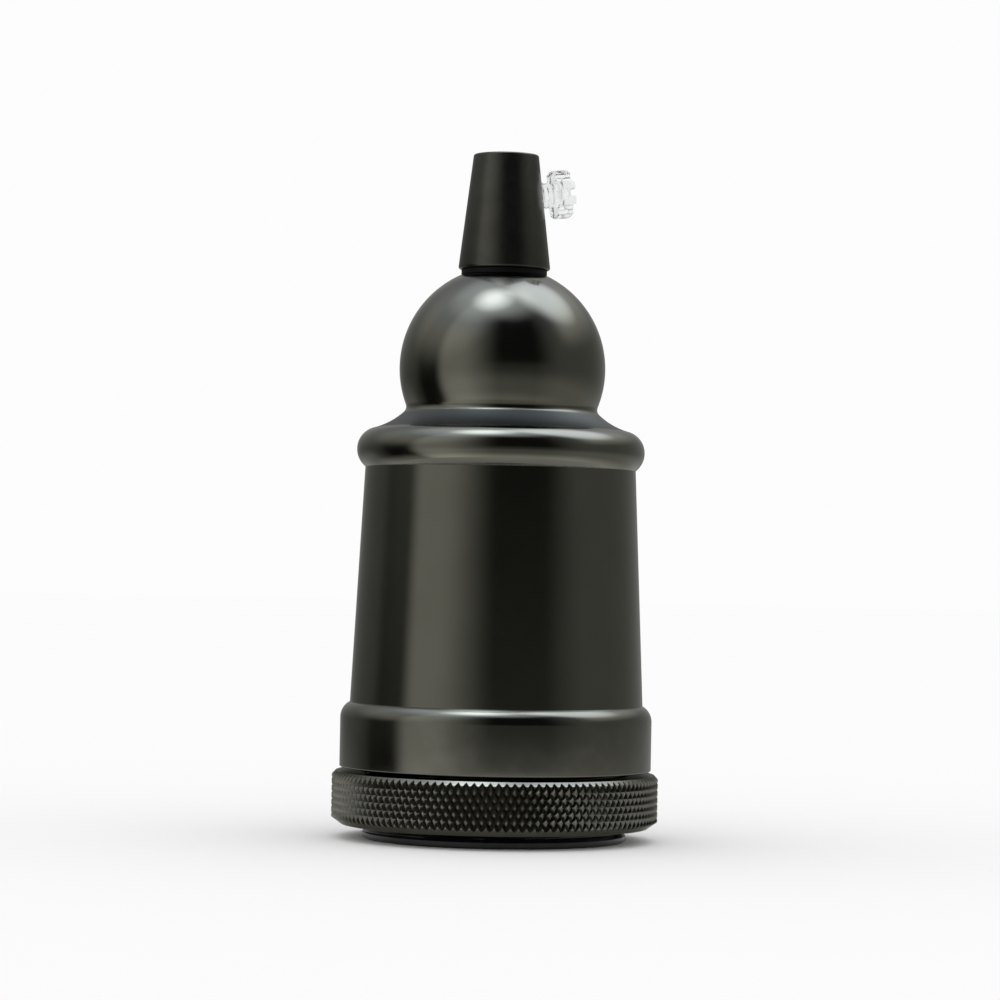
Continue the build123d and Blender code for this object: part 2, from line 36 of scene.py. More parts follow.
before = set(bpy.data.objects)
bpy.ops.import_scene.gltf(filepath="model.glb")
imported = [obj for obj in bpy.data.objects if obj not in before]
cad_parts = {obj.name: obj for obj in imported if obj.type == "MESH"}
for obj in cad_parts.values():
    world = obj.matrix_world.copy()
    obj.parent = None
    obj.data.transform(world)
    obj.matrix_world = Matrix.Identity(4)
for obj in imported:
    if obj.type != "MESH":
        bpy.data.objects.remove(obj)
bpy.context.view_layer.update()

# Ring
RING_RADIUS = 24.5
RING_TOP_FACE_RADIUS = 23.95
RING_BOTTOM_FACE_RADIUS = 23.1
RING_BORE_RADIUS = 19.9
RING_BORE_CHAMFER = 0.5
RING_FOOT = 2.1
RING_TOP = 10.0
RING_TOP_CHAMFER = 0.6
RING_BOTTOM_CHAMFER = 1.0
KNURL_COLUMNS = 130
KNURL_ROWS = 6
KNURL_DEPTH = 0.45
KNURL_FLAT = 0.3

# Shell, outside
FOOT_RADIUS = 23.4
FOOT_Z = 10.6
SHOULDER_Z = 18.0
SHOULDER_ARC = 2.6
BARREL_FOOT_RADIUS = 22.0
BARREL_TOP_RADIUS = 20.35
BARREL_HEIGHT = 35.315
BEAD_RADIUS = 21.65
BEAD_LOWER_ARC = 3.4
BEAD_UPPER_ARC = 3.3
COVE_FOOT_RADIUS = 19.5
COVE_HEIGHT = 3.0762
COVE_ARC = 11.0
BALL_RADIUS = 15.5
WAIST_DROP = 6.214
WAIST_ROUND = 0.8
CROWN_RADIUS = 6.5
SHELL_WALL = 1.2
CROWN_WALL = 1.8
CROWN_HOLE_CHAMFER = 0.3
EDGE_ROUND = 0.22

# How finely the shell's outline is stepped
RIM_STEPS = 4
BULGE_STEPS = 14
BARREL_STEPS = 12
COVE_STEPS = 16
WAIST_STEPS = 8
BALL_STEPS = 64
BALL_INSIDE_STEPS = 40

# Grip, washer and nipple. A groove is its depth in the middle, before it is cut off at 1, and
# how fast that falls to both sides, per pitch
GRIP_HEIGHT = 17.4
GRIP_FOOT_RADIUS = 6.95
GRIP_TOP_RADIUS = 4.9
GRIP_THREAD_DEPTH = 7.5
GRIP_THREAD_ROUND = 0.2
GRIP_FOOT_ROUND = 0.45
GRIP_TOP_ROUND = 0.35
GRIP_HOLE_RADIUS = 2.05
GRIP_HOLE_REACH = 9
CORD_BORE_RADIUS = 3.7
THREAD_BORE_RADIUS = 5.05
WASHER_THICKNESS = 0.85
WASHER_RADIUS = 6.45
WASHER_ROUND = 0.15
NIPPLE_RADIUS = 5.0
NIPPLE_BORE_RADIUS = 3.9
NIPPLE_GRIP_LENGTH = 6.5
NIPPLE_FOOT = 54.5
NIPPLE_CHAMFER = 0.4
NIPPLE_PITCH = 1.0
NIPPLE_THREAD_DEPTH = 0.5
NIPPLE_GROOVE = (1.15, 2.3)
NIPPLE_ROWS_PER_TURN = 8

# Thumb screw. The head's rim is distances from its faces and the share of the radius there
THUMB_HEIGHT = 11.5
THUMB_AZIMUTH = 21.0
THUMB_STAND_OFF = 2.0
THUMB_RADIUS = 1.97
THUMB_PITCH = 0.8
THUMB_THREAD_DEPTH = 0.35
THUMB_GROOVE = (1.0, 2.0)
THUMB_TIP_CLEARANCE = 0.13
THUMB_TIP_LENGTH = 0.4
THUMB_TIP_TAPER = 0.8
THUMB_SHANK_OVERLAP = 0.4
THUMB_SHANK_ROWS = 96
THUMB_SHANK_COLUMNS = 48
THUMB_HEAD_RADIUS = 3.65
THUMB_HEAD_THICKNESS = 2.5
THUMB_HEAD_RIM = ((0.0, 0.94), (0.15, 0.985), (0.35, 1.0))
THUMB_HEAD_COLUMNS = 144
THUMB_FLUTE_RADIUS = 0.95
THUMB_SLOT_WIDTH = 1.1
THUMB_SLOT_DEPTH = 0.9
THUMB_EDGE_ROUND = 0.22

# Sleeve. The shift of its groove is in turns
SLEEVE_RADIUS = 19.8
SLEEVE_ROOT_DEPTH = 0.65
SLEEVE_PITCH = 2.5
SLEEVE_GROOVE = (2.2, 5.2)
SLEEVE_GROOVE_SHIFT = 0.25
SLEEVE_THREAD_ROWS = 84
SLEEVE_RUN_IN = 0.5
SLEEVE_RUN_OUT = 0.9
SLEEVE_RIM_LAND = 0.9
SLEEVE_RIM_CHAMFER = 0.25
SLEEVE_FLANGE_LIFT = 0.01
SLEEVE_FLANGE_RADIUS = 22.1
SLEEVE_FLANGE_TOP = 13.6
SLEEVE_BODY_RADIUS = 19.0
SLEEVE_TOP = 31.0
MOUTH_RADIUS = 14.6
MOUTH_DEPTH = 10.2
MOUTH_CHAMFER = 0.4
POCKET_RADIUS = 13.75

# Screw shell. Its run-in and run-out are in turns
CUP_RADIUS = 13.6
CUP_SHEET = 0.35
CUP_FOOT = 10.6
CUP_FLANGE_RADIUS = 9.2
CUP_ROWS = 120
LAMP_PITCH = 3.629
LAMP_THREAD_DEPTH = 1.1
LAMP_THREAD_START = 12.2
LAMP_THREAD_TURNS = 4
LAMP_THREAD_RUN_IN = 0.15
LAMP_THREAD_RUN_OUT = 0.4
LAMP_THREAD_FADE = 2.5
LAMP_THREAD_SHARPNESS = 1.3

# Floor, and the camera in front of the holder
FLOOR_NEAR_RADIUS = 65
FLOOR_FAR_RADIUS = 3000
FLOOR_CORNERS = 96
CAMERA_PLACE = (0, -532, 42)
CAMERA_LENS = 127.2
CAMERA_PITCH = 90.963
CAMERA_ROLL = 1.07

# Azimuths: the edge of the wall behind, and a limit beyond the seam straight behind at 180
BACK_WALL = 163
BEYOND_SEAM = 200

# Heights that follow from the sizes
barrel_foot_z = SHOULDER_Z + math.sqrt(
    SHOULDER_ARC**2 - (BARREL_FOOT_RADIUS - FOOT_RADIUS + SHOULDER_ARC) ** 2
)
barrel_top_z = barrel_foot_z + BARREL_HEIGHT
bead_z = barrel_top_z + math.sqrt(
    BEAD_LOWER_ARC**2 - (BARREL_TOP_RADIUS - BEAD_RADIUS + BEAD_LOWER_ARC) ** 2
)
cove_foot_z = bead_z + math.sqrt(
    BEAD_UPPER_ARC**2 - (COVE_FOOT_RADIUS - BEAD_RADIUS + BEAD_UPPER_ARC) ** 2
)
waist_z = cove_foot_z + COVE_HEIGHT
waist_radius = math.sqrt(BALL_RADIUS**2 - WAIST_DROP**2)
ball_z = waist_z + WAIST_DROP
crown_z = ball_z + math.sqrt(BALL_RADIUS**2 - CROWN_RADIUS**2)
grip_foot_z = crown_z + WASHER_THICKNESS
grip_top_z = grip_foot_z + GRIP_HEIGHT

# The grip's slope; where the thumb screw's axis starts and how far along it the grip's side is
grip_slope = math.atan((GRIP_FOOT_RADIUS - GRIP_TOP_RADIUS) / GRIP_HEIGHT)
thumb_side = (GRIP_FOOT_RADIUS - THUMB_HEIGHT * math.tan(grip_slope)) / math.cos(grip_slope)
thumb_z = grip_foot_z + THUMB_HEIGHT - thumb_side * math.sin(grip_slope)


# Mesh helpers


def new_object(name, mesh):
    obj = bpy.data.objects.new(name, mesh)
    bpy.context.scene.collection.objects.link(obj)
    return obj


def mesh_object(name, points, faces, crease=30.0):
    """A mesh piece from points in millimetres, shaded smooth up to the crease angle."""
    mesh = bpy.data.meshes.new(name)
    mesh.from_pydata([Vector(p) * MM for p in points], [], faces)
    work = bmesh.new()
    work.from_mesh(mesh)
    bmesh.ops.remove_doubles(work, verts=work.verts, dist=1e-7)
    bmesh.ops.recalc_face_normals(work, faces=work.faces)
    work.to_mesh(mesh)
    work.free()
    piece = new_object(name, mesh)
    shade(piece, crease)
    return piece


def arc(centre, radius, start, end, steps):
    """Points of an arc in the section, angles in degrees from straight outward."""
    points = []
    for step in range(steps + 1):
        angle = math.radians(start + (end - start) * step / steps)
        points.append((centre[0] + radius * math.cos(angle), centre[1] + radius * math.sin(angle)))
    return points


def rounded(corners, steps):
    """A closed section with its corners rounded; each corner is radius, height and its rounding."""
    outline = []
    count = len(corners)
    for spot, (radius, z, size) in enumerate(corners):
        here = Vector((radius, z))
        if size == 0:
            outline.append(tuple(here))
            continue
        before = Vector(corners[spot - 1][:2]) - here
        after = Vector(corners[(spot + 1) % count][:2]) - here
        bend = before.angle(after)
        reach = min(size / math.tan(bend / 2), before.length * 0.45, after.length * 0.45)
        first = here + before.normalized() * reach
        last = here + after.normalized() * reach
        for step in range(steps + 1):
            t = step / steps
            point = first * (1 - t) ** 2 + here * 2 * t * (1 - t) + last * t**2
            outline.append(tuple(point))
    return outline


def turned(name, outline, segments=192, crease=30.0):
    """A ring-shaped piece: the closed section turned about the Z axis."""
    return turned_by_angle(name, lambda angle: outline, segments, crease)


def turned_by_angle(name, section, segments, crease=30.0):
    """A ring-shaped piece whose section may change with the angle, as a thread's does."""
    points = []
    for column in range(segments):
        angle = TURN * column / segments
        cos, sin = math.cos(angle), math.sin(angle)
        outline = section(angle)
        points += [(r * cos, r * sin, z) for r, z in outline]
    rows = len(outline)
    faces = []
    for column in range(segments):
        here, there = column * rows, (column + 1) % segments * rows
        for row in range(rows):
            up = (row + 1) % rows
            faces.append((here + row, there + row, there + up, here + up))
    return mesh_object(name, points, faces, crease)


def stacked(name, points, count):
    """A capped piece from rings of points, one above the other, with count points in each."""
    last = len(points)
    faces = [tuple(range(count)), tuple(range(last - 1, last - count - 1, -1))]
    for low in range(0, last - count, count):
        high = low + count
        for column in range(count):
            after = (column + 1) % count
            faces.append((low + column, low + after, high + after, high + column))
    return mesh_object(name, points, faces)


def groove(turns, angle, peak, fall, shift=0.0):
    """Depth from 0 to 1 of a helical groove, at a height in turns and an angle round the axis."""
    phase = (turns - angle / TURN + shift) % 1.0
    return min(1.0, max(0.0, peak - fall * abs(phase - 0.5)))


def combine(piece, other, operation):
    """Joins the other mesh to the piece, or cuts it out, and removes the other one."""
    modifier = piece.modifiers.new("combine", "BOOLEAN")
    modifier.object = other
    modifier.operation = operation
    modifier.solver = "EXACT"
    settled = bpy.data.meshes.new_from_object(
        piece.evaluated_get(bpy.context.evaluated_depsgraph_get())
    )
    piece.modifiers.clear()
    piece.data = settled
    bpy.data.objects.remove(other)


def rod(name, radius, low, high, segments=64):
    """A capped round bar along its own Z axis."""
    points = []
    for z in (low, high):
        for column in range(segments):
            angle = TURN * column / segments
            points.append((radius * math.cos(angle), radius * math.sin(angle), z))
    return stacked(name, points, segments)


def soften(piece, width):
    """Rounds the sharp edges so that they catch the light."""
    bevel = piece.modifiers.new("edges", "BEVEL")
    bevel.width = width * MM
    bevel.segments = 3
    bevel.limit_method = "ANGLE"
    bevel.angle_limit = math.radians(35)


def shade(piece, crease):
    """Shades a piece smooth up to the crease angle in degrees."""
    piece.data.shade_smooth()
    piece.data.set_sharp_from_angle(angle=math.radians(crease))


# Finishes


class Finish:
    """A procedural material with short ways to add what the surface shows."""

    def __init__(self, name, **sockets):
        self.material = bpy.data.materials.new(name)
        self.material.use_nodes = True
        tree = self.material.node_tree
        self.nodes, self.links = tree.nodes, tree.links
        self.shader = next(n for n in self.nodes if n.type == "BSDF_PRINCIPLED")
        for socket, value in sockets.items():
            self.shader.inputs[socket.replace("_", " ")].default_value = value
        self.place = self.nodes.new("ShaderNodeTexCoord").outputs["Object"]
        self.normal = None

    def stretched(self, x, y, z):
        """The object's coordinates scaled apart, for marks that run one way."""
        mapping = self.nodes.new("ShaderNodeMapping")
        mapping.inputs["Scale"].default_value = (x, y, z)
        self.links.new(self.place, mapping.inputs["Vector"])
        return mapping.outputs["Vector"]

    def noise(self, scale, detail, place=None):
        """Soft noise; the scale is in features per metre."""
        texture = self.nodes.new("ShaderNodeTexNoise")
        texture.inputs["Scale"].default_value = scale
        texture.inputs["Detail"].default_value = detail
        texture.inputs["Roughness"].default_value = 0.55
        self.links.new(place or self.place, texture.inputs["Vector"])
        return texture.outputs["Fac"]

    def cells(self, scale):
        """Distance from the middle of irregular cells."""
        texture = self.nodes.new("ShaderNodeTexVoronoi")
        texture.inputs["Scale"].default_value = scale
        self.links.new(self.place, texture.inputs["Vector"])
        return texture.outputs["Distance"]

    def spread(self, value, low, high, to_low, to_high):
        """The value's range from low to high, taken to another range of numbers or sockets."""
        ranger = self.nodes.new("ShaderNodeMapRange")
        levels = {"From Min": low, "From Max": high, "To Min": to_low, "To Max": to_high}
        for socket, level in levels.items():
            if isinstance(level, (int, float)):
                ranger.inputs[socket].default_value = level
            else:
                self.links.new(level, ranger.inputs[socket])
        self.links.new(value, ranger.inputs["Value"])
        return ranger.outputs["Result"]

    def from_axis(self):
        """Distance from the upright axis in millimetres."""
        flat = self.nodes.new("ShaderNodeVectorMath")
        flat.operation = "LENGTH"
        self.links.new(self.stretched(1 / MM, 1 / MM, 0), flat.inputs[0])
        return flat.outputs["Value"]

    def height(self):
        """Height above the rim of the sleeve in millimetres."""
        parts = self.nodes.new("ShaderNodeSeparateXYZ")
        self.links.new(self.stretched(0, 0, 1 / MM), parts.inputs[0])
        return parts.outputs["Z"]

    def product(self, first, second):
        times = self.nodes.new("ShaderNodeMath")
        times.operation = "MULTIPLY"
        self.links.new(first, times.inputs[0])
        self.links.new(second, times.inputs[1])
        return times.outputs[0]

    def edges(self, low, high):
        """1 on raised edges, 0 elsewhere."""
        geometry = self.nodes.new("ShaderNodeNewGeometry")
        return self.spread(geometry.outputs["Pointiness"], low, high, 0.0, 1.0)

    def blend(self, amount, first, second):
        """One colour going over into another; either may be a colour or a socket.

        The colours of a mix node are its inputs 6 and 7, and their mix is its output 2.
        """
        mix = self.nodes.new("ShaderNodeMix")
        mix.data_type = "RGBA"
        self.links.new(amount, mix.inputs[0])
        for socket, colour in ((mix.inputs[6], first), (mix.inputs[7], second)):
            if isinstance(colour, tuple):
                socket.default_value = (*colour, 1.0)
            else:
                self.links.new(colour, socket)
        return mix.outputs[2]

    def clouded(self, scale, detail, first, second):
        """Two colours in soft patches."""
        patches = self.spread(self.noise(scale, detail), 0.3, 0.7, 0.0, 1.0)
        return self.blend(patches, first, second)

    def uneven(self, scale, detail, least, most):
        """A value that wanders between two levels."""
        return self.spread(self.noise(scale, detail), 0.25, 0.75, least, most)

    def colour(self, source):
        self.links.new(source, self.shader.inputs["Base Color"])

    def roughness(self, source):
        self.links.new(source, self.shader.inputs["Roughness"])

    def bump(self, height, depth, strength):
        """Adds relief of the given depth in millimetres; calls stack up."""
        bump = self.nodes.new("ShaderNodeBump")
        bump.inputs["Strength"].default_value = strength
        bump.inputs["Distance"].default_value = depth * MM
        self.links.new(height, bump.inputs["Height"])
        if self.normal:
            self.links.new(self.normal, bump.inputs["Normal"])
        self.normal = bump.outputs["Normal"]
        self.links.new(self.normal, self.shader.inputs["Normal"])


def gunmetal():
    """Dark plating over turned metal: satin, faintly clouded, with fine turning marks.

    The foot is rubbed a little brighter. The cove between ball and bead is dull, and its colour
    carries painted shade that darkens down to the kink above the bead.
    """
    finish = Finish("gunmetal", Metallic=1.0)
    tint = finish.clouded(90, 3, (0.122, 0.121, 0.101), (0.134, 0.133, 0.112))
    rubbed = finish.product(
        finish.spread(finish.from_axis(), FOOT_RADIUS - 0.15, FOOT_RADIUS, 0.0, 1.0),
        finish.spread(finish.noise(260, 4), 0.45, 0.65, 0.0, 0.5),
    )
    height = finish.height()
    hollow = finish.product(
        finish.spread(height, cove_foot_z - 0.1, cove_foot_z + 0.3, 0.0, 1.0),
        finish.spread(height, waist_z - 0.7, waist_z - 0.3, 1.0, 0.0),
    )
    # Painted shade: the cove's colour grows darker from near the waist down to the kink above the
    # bead
    depth = finish.spread(height, cove_foot_z + 0.3, waist_z - 0.5, 0.0, 1.0)
    painted_cove_shade = finish.blend(depth, (0.040, 0.043, 0.041), (0.097, 0.103, 0.098))
    tint = finish.blend(hollow, tint, painted_cove_shade)
    finish.colour(finish.blend(rubbed, tint, (0.165, 0.163, 0.145)))
    finish.roughness(finish.spread(hollow, 0.0, 1.0, finish.uneven(420, 5, 0.11, 0.15), 0.42))
    turning_marks = finish.noise(1.0, 3, place=finish.stretched(90, 90, 5200))
    finish.bump(turning_marks, 0.004, 0.15)
    finish.bump(finish.noise(9000, 2), 0.002, 0.12)
    return finish.material


def knurled_gunmetal():
    """The same plating on the knurl: dull in the grooves, rubbed brighter on the tips."""
    finish = Finish("knurled_gunmetal", Metallic=1.0, Specular_Tint=(0.5, 0.5, 0.46, 1.0))
    tint = finish.clouded(500, 3, (0.118, 0.116, 0.098), (0.134, 0.133, 0.112))
    tips = finish.product(
        finish.spread(finish.from_axis(), RING_RADIUS - 0.2, RING_RADIUS - 0.02, 0.0, 1.0),
        finish.spread(finish.noise(700, 3), 0.3, 0.7, 0.4, 1.0),
    )
    finish.colour(finish.blend(tips, tint, (0.20, 0.197, 0.175)))
    finish.roughness(finish.uneven(900, 4, 0.19, 0.26))
    finish.bump(finish.noise(7000, 3), 0.004, 0.35)
    return finish.material


def grip_black():
    """Sprayed matte charcoal on the cord grip."""
    finish = Finish("grip_black", Metallic=1.0)
    tint = finish.clouded(260, 3, (0.062, 0.061, 0.053), (0.078, 0.077, 0.067))
    finish.colour(finish.blend(finish.edges(0.55, 0.63), tint, (0.12, 0.115, 0.105)))
    finish.roughness(finish.uneven(1500, 4, 0.27, 0.35))
    finish.bump(finish.noise(11000, 3), 0.006, 0.45)
    return finish.material


def phenolic():
    """Glossy black moulding with a little flow texture."""
    finish = Finish("phenolic", Specular_IOR_Level=0.4)
    tint = finish.blend(finish.noise(300, 3), (0.002, 0.002, 0.002), (0.0045, 0.0043, 0.004))
    finish.colour(tint)
    finish.roughness(finish.uneven(700, 4, 0.16, 0.28))
    finish.bump(finish.noise(1800, 3), 0.006, 0.2)
    return finish.material


def black_nylon():
    """Dull black plastic."""
    finish = Finish("black_nylon", Specular_IOR_Level=0.15)
    tint = finish.blend(finish.noise(900, 3), (0.0015, 0.0015, 0.0015), (0.004, 0.004, 0.004))
    finish.colour(tint)
    finish.roughness(finish.uneven(2500, 3, 0.45, 0.6))
    finish.bump(finish.noise(6000, 3), 0.008, 0.4)
    return finish.material


def clear_plastic():
    """Clear moulding, slightly wavy and a little scuffed."""
    finish = Finish("clear_plastic", IOR=1.45, Transmission_Weight=0.92)
    finish.colour(finish.blend(finish.noise(400, 2), (0.93, 0.95, 0.95), (0.98, 0.99, 0.99)))
    finish.roughness(finish.spread(finish.noise(1400, 4), 0.3, 0.75, 0.04, 0.14))
    finish.bump(finish.noise(900, 2), 0.02, 0.15)
    return finish.material


def porcelain():
    """White glazed ceramic with a few dark specks and a soft orange-peel surface."""
    finish = Finish("porcelain", Coat_Weight=0.5, Coat_Roughness=0.08)
    glaze = finish.blend(finish.noise(180, 3), (0.78, 0.76, 0.70), (0.86, 0.85, 0.80))
    specks = finish.spread(finish.cells(700), 0.04, 0.10, 1.0, 0.0)
    finish.colour(finish.blend(specks, glaze, (0.30, 0.26, 0.20)))
    finish.roughness(finish.uneven(900, 3, 0.18, 0.34))
    finish.bump(finish.noise(700, 2), 0.03, 0.2)
    return finish.material


def zinc_steel():
    """Zinc-plated steel, slightly dull and spangled."""
    finish = Finish("zinc_steel", Metallic=1.0)
    spangle = finish.spread(finish.cells(900), 0.1, 0.7, 0.0, 1.0)
    tint = finish.blend(spangle, (0.46, 0.46, 0.45), (0.60, 0.60, 0.58))
    finish.colour(finish.blend(finish.edges(0.54, 0.62), tint, (0.75, 0.75, 0.73)))
    finish.roughness(finish.uneven(1200, 4, 0.30, 0.48))
    finish.bump(finish.noise(5000, 3), 0.004, 0.3)
    return finish.material


def brass():
    """Plain brass: warm, rubbed on its edges and a little tarnished."""
    finish = Finish("brass", Metallic=1.0)
    tint = finish.clouded(350, 4, (0.62, 0.42, 0.17), (0.78, 0.58, 0.28))
    finish.colour(finish.blend(finish.edges(0.54, 0.62), tint, (0.88, 0.70, 0.40)))
    finish.roughness(finish.uneven(800, 4, 0.20, 0.36))
    finish.bump(finish.noise(4200, 3), 0.004, 0.3)
    return finish.material


FINISHES = {
    make.__name__: make()
    for make in (
        gunmetal,
        knurled_gunmetal,
        grip_black,
        phenolic,
        black_nylon,
        clear_plastic,
        porcelain,
        zinc_steel,
        brass,
    )
}


def dress(piece, body, slot, *nodes):
    """Gives a piece its finish, its body and the solids that it stands for."""
    piece.data.materials.clear()
    piece.data.materials.append(FINISHES[slot])
    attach(piece, body)
    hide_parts(*nodes)


# Pieces


def shell():
    """Ball-topped cover: one thin turned wall with crisp creases and softly rounded rims."""
    foot_inside = FOOT_RADIUS - SHELL_WALL
    rim_z = FOOT_Z + EDGE_ROUND
    outline = arc((foot_inside + EDGE_ROUND, rim_z), EDGE_ROUND, -180, -90, RIM_STEPS)
    outline += arc((FOOT_RADIUS - EDGE_ROUND, rim_z), EDGE_ROUND, -90, 0, RIM_STEPS)
    outline += bulge(FOOT_RADIUS, BARREL_FOOT_RADIUS, SHOULDER_Z, SHOULDER_ARC)
    slant = BARREL_TOP_RADIUS - BARREL_FOOT_RADIUS
    for step in range(BARREL_STEPS + 1):
        t = step / BARREL_STEPS
        outline.append((BARREL_FOOT_RADIUS + slant * t, barrel_foot_z + BARREL_HEIGHT * t))
    outline += bulge(BEAD_RADIUS, BARREL_TOP_RADIUS, bead_z, BEAD_LOWER_ARC, upward=False)
    outline += bulge(BEAD_RADIUS, COVE_FOOT_RADIUS, bead_z, BEAD_UPPER_ARC)
    ball_foot = math.degrees(math.asin(-WAIST_DROP / BALL_RADIUS) + WAIST_ROUND / BALL_RADIUS)
    ball_top = math.degrees(math.acos(CROWN_RADIUS / BALL_RADIUS))
    ball = arc((0, ball_z), BALL_RADIUS, ball_foot, ball_top, BALL_STEPS)
    hollow = cove()
    outline += hollow + waist(hollow[-1], ball[0]) + ball
    crown_inside = crown_z - CROWN_WALL
    outline += [
        (THREAD_BORE_RADIUS + CROWN_HOLE_CHAMFER, crown_z),
        (THREAD_BORE_RADIUS, crown_z - CROWN_HOLE_CHAMFER),
        (THREAD_BORE_RADIUS, crown_inside),
    ]
    inner = BALL_RADIUS - SHELL_WALL
    inner_top = math.degrees(math.asin((crown_inside - ball_z) / inner))
    inner_foot = -math.degrees(math.acos((waist_radius - SHELL_WALL) / inner))
    outline += arc((0, ball_z), inner, inner_top, inner_foot, BALL_INSIDE_STEPS)
    outline += [
        (BARREL_TOP_RADIUS - SHELL_WALL, bead_z),
        (BARREL_TOP_RADIUS - SHELL_WALL, barrel_top_z),
        (BARREL_FOOT_RADIUS - SHELL_WALL, barrel_foot_z),
        (foot_inside, SHOULDER_Z),
    ]
    piece = turned("shell_turned", outline, segments=256, crease=26)
    dress(piece, "holder", "gunmetal", "shell")


def bulge(widest, neck, z, radius, upward=True):
    """Arc between the widest radius, at height z, and the narrower neck above or below it."""
    swing = math.degrees(math.acos((neck - widest + radius) / radius))
    start, end = (0, swing) if upward else (-swing, 0)
    return arc((widest - radius, z), radius, start, end, BULGE_STEPS)


def waist(first, last):
    """Points between the cove's last and the ball's first, on a soft bend round the waist."""
    first, last = Vector(first), Vector(last)
    corner = Vector((waist_radius, waist_z))
    points = []
    for step in range(1, WAIST_STEPS):
        t = step / WAIST_STEPS
        points.append(tuple(first * (1 - t) ** 2 + corner * 2 * t * (1 - t) + last * t**2))
    return points


def cove():
    """Hollow arc from the kink above the bead up to just below the waist."""
    foot = Vector((COVE_FOOT_RADIUS, cove_foot_z))
    top = Vector((waist_radius, waist_z))
    chord = top - foot
    outward = Vector((chord.y, -chord.x)).normalized()
    sagitta = COVE_ARC - math.sqrt(COVE_ARC**2 - (chord.length / 2) ** 2)
    centre = (foot + top) / 2 + outward * (COVE_ARC - sagitta)
    start = math.atan2(foot.y - centre.y, foot.x - centre.x) % TURN
    end = math.atan2(top.y - centre.y, top.x - centre.x) % TURN + WAIST_ROUND / COVE_ARC
    return arc(tuple(centre), COVE_ARC, math.degrees(start), math.degrees(end), COVE_STEPS)[1:]


def knurl_faces(points):
    """Diamonds between the grooves: four flanks and a small flat on each tip.

    Adds the corners to points, and gives the faces and the corners along both chamfers. The
    tips in the bottom and top rows are cut in half by the chamfers.
    """
    index, faces = {}, []
    band_foot = RING_FOOT + RING_BOTTOM_CHAMFER
    band_top = RING_TOP - RING_TOP_CHAMFER
    rise = (band_top - band_foot) / KNURL_ROWS
    around = 2 * KNURL_COLUMNS
    border_shift = {
        0: -KNURL_DEPTH * RING_BOTTOM_CHAMFER / (RING_RADIUS - RING_BOTTOM_FACE_RADIUS),
        KNURL_ROWS: KNURL_DEPTH * RING_TOP_CHAMFER / (RING_RADIUS - RING_TOP_FACE_RADIUS),
    }

    def vertex(half_step, level, deep):
        key = (round(half_step % around, 4), round(level, 4))
        if key not in index:
            z = band_foot + rise * level
            if deep:
                z += border_shift.get(level, 0.0)
            radius = RING_RADIUS - (KNURL_DEPTH if deep else 0)
            angle = half_step * math.pi / KNURL_COLUMNS
            index[key] = len(points)
            points.append((radius * math.cos(angle), radius * math.sin(angle), z))
        return index[key]

    for level in range(KNURL_ROWS + 1):
        for h in range(around):
            if (h + level) % 2 == 0:
                continue
            steps = [(-1, 0), (0, -1), (1, 0), (0, 1)]
            steps = [s for s in steps if 0 <= level + s[1] <= KNURL_ROWS]
            tips = [vertex(h + KNURL_FLAT * a, level + KNURL_FLAT * b, False) for a, b in steps]
            feet = [vertex(h + a, level + b, True) for a, b in steps]
            faces.append(tuple(tips))
            count = len(steps)
            for spot in range(count):
                after = (spot + 1) % count
                # The cut side of a half diamond has no flank; the chamfer closes it
                if count == 3 and steps[spot][1] == 0 and steps[after][1] == 0:
                    continue
                faces.append((tips[spot], feet[spot], feet[after], tips[after]))
    borders = []
    for level in (0, KNURL_ROWS):
        ring = [key for key in index if key[1] == level]
        borders.append([index[key] for key in sorted(ring)])
    return faces, borders


def shade_ring():
    """Knurled ring: cut diamonds between two turned chamfers, and a smooth bore."""
    points = []
    faces, borders = knurl_faces(points)
    profile = [
        (RING_BOTTOM_FACE_RADIUS, RING_FOOT),
        (RING_BORE_RADIUS + RING_BORE_CHAMFER, RING_FOOT),
        (RING_BORE_RADIUS, RING_FOOT + RING_BORE_CHAMFER),
        (RING_BORE_RADIUS, RING_TOP - RING_BORE_CHAMFER),
        (RING_BORE_RADIUS + RING_BORE_CHAMFER, RING_TOP),
        (RING_TOP_FACE_RADIUS, RING_TOP),
    ]
    angles = [math.atan2(points[i][1], points[i][0]) for i in borders[0]]
    rings = [borders[0]]
    for radius, z in profile:
        start = len(points)
        points += [(radius * math.cos(a), radius * math.sin(a), z) for a in angles]
        rings.append(list(range(start, len(points))))
    rings.append(match_border(points, borders[1], angles))
    for lower, upper in zip(rings, rings[1:]):
        for spot in range(len(lower)):
            after = (spot + 1) % len(lower)
            faces.append((lower[spot], upper[spot], upper[after], lower[after]))
    piece = mesh_object("shade_ring_knurled", points, faces, crease=22)
    dress(piece, "ring", "knurled_gunmetal", "shade_ring")


def match_border(points, border, angles):
    """The border's points in the order of the given angles."""
    by_angle = {round(math.atan2(points[i][1], points[i][0]), 5): i for i in border}
    keys = sorted(by_angle)
    matched = []
    for angle in angles:
        nearest = min(keys, key=lambda key: abs(key - angle))
        matched.append(by_angle[nearest])
    return matched


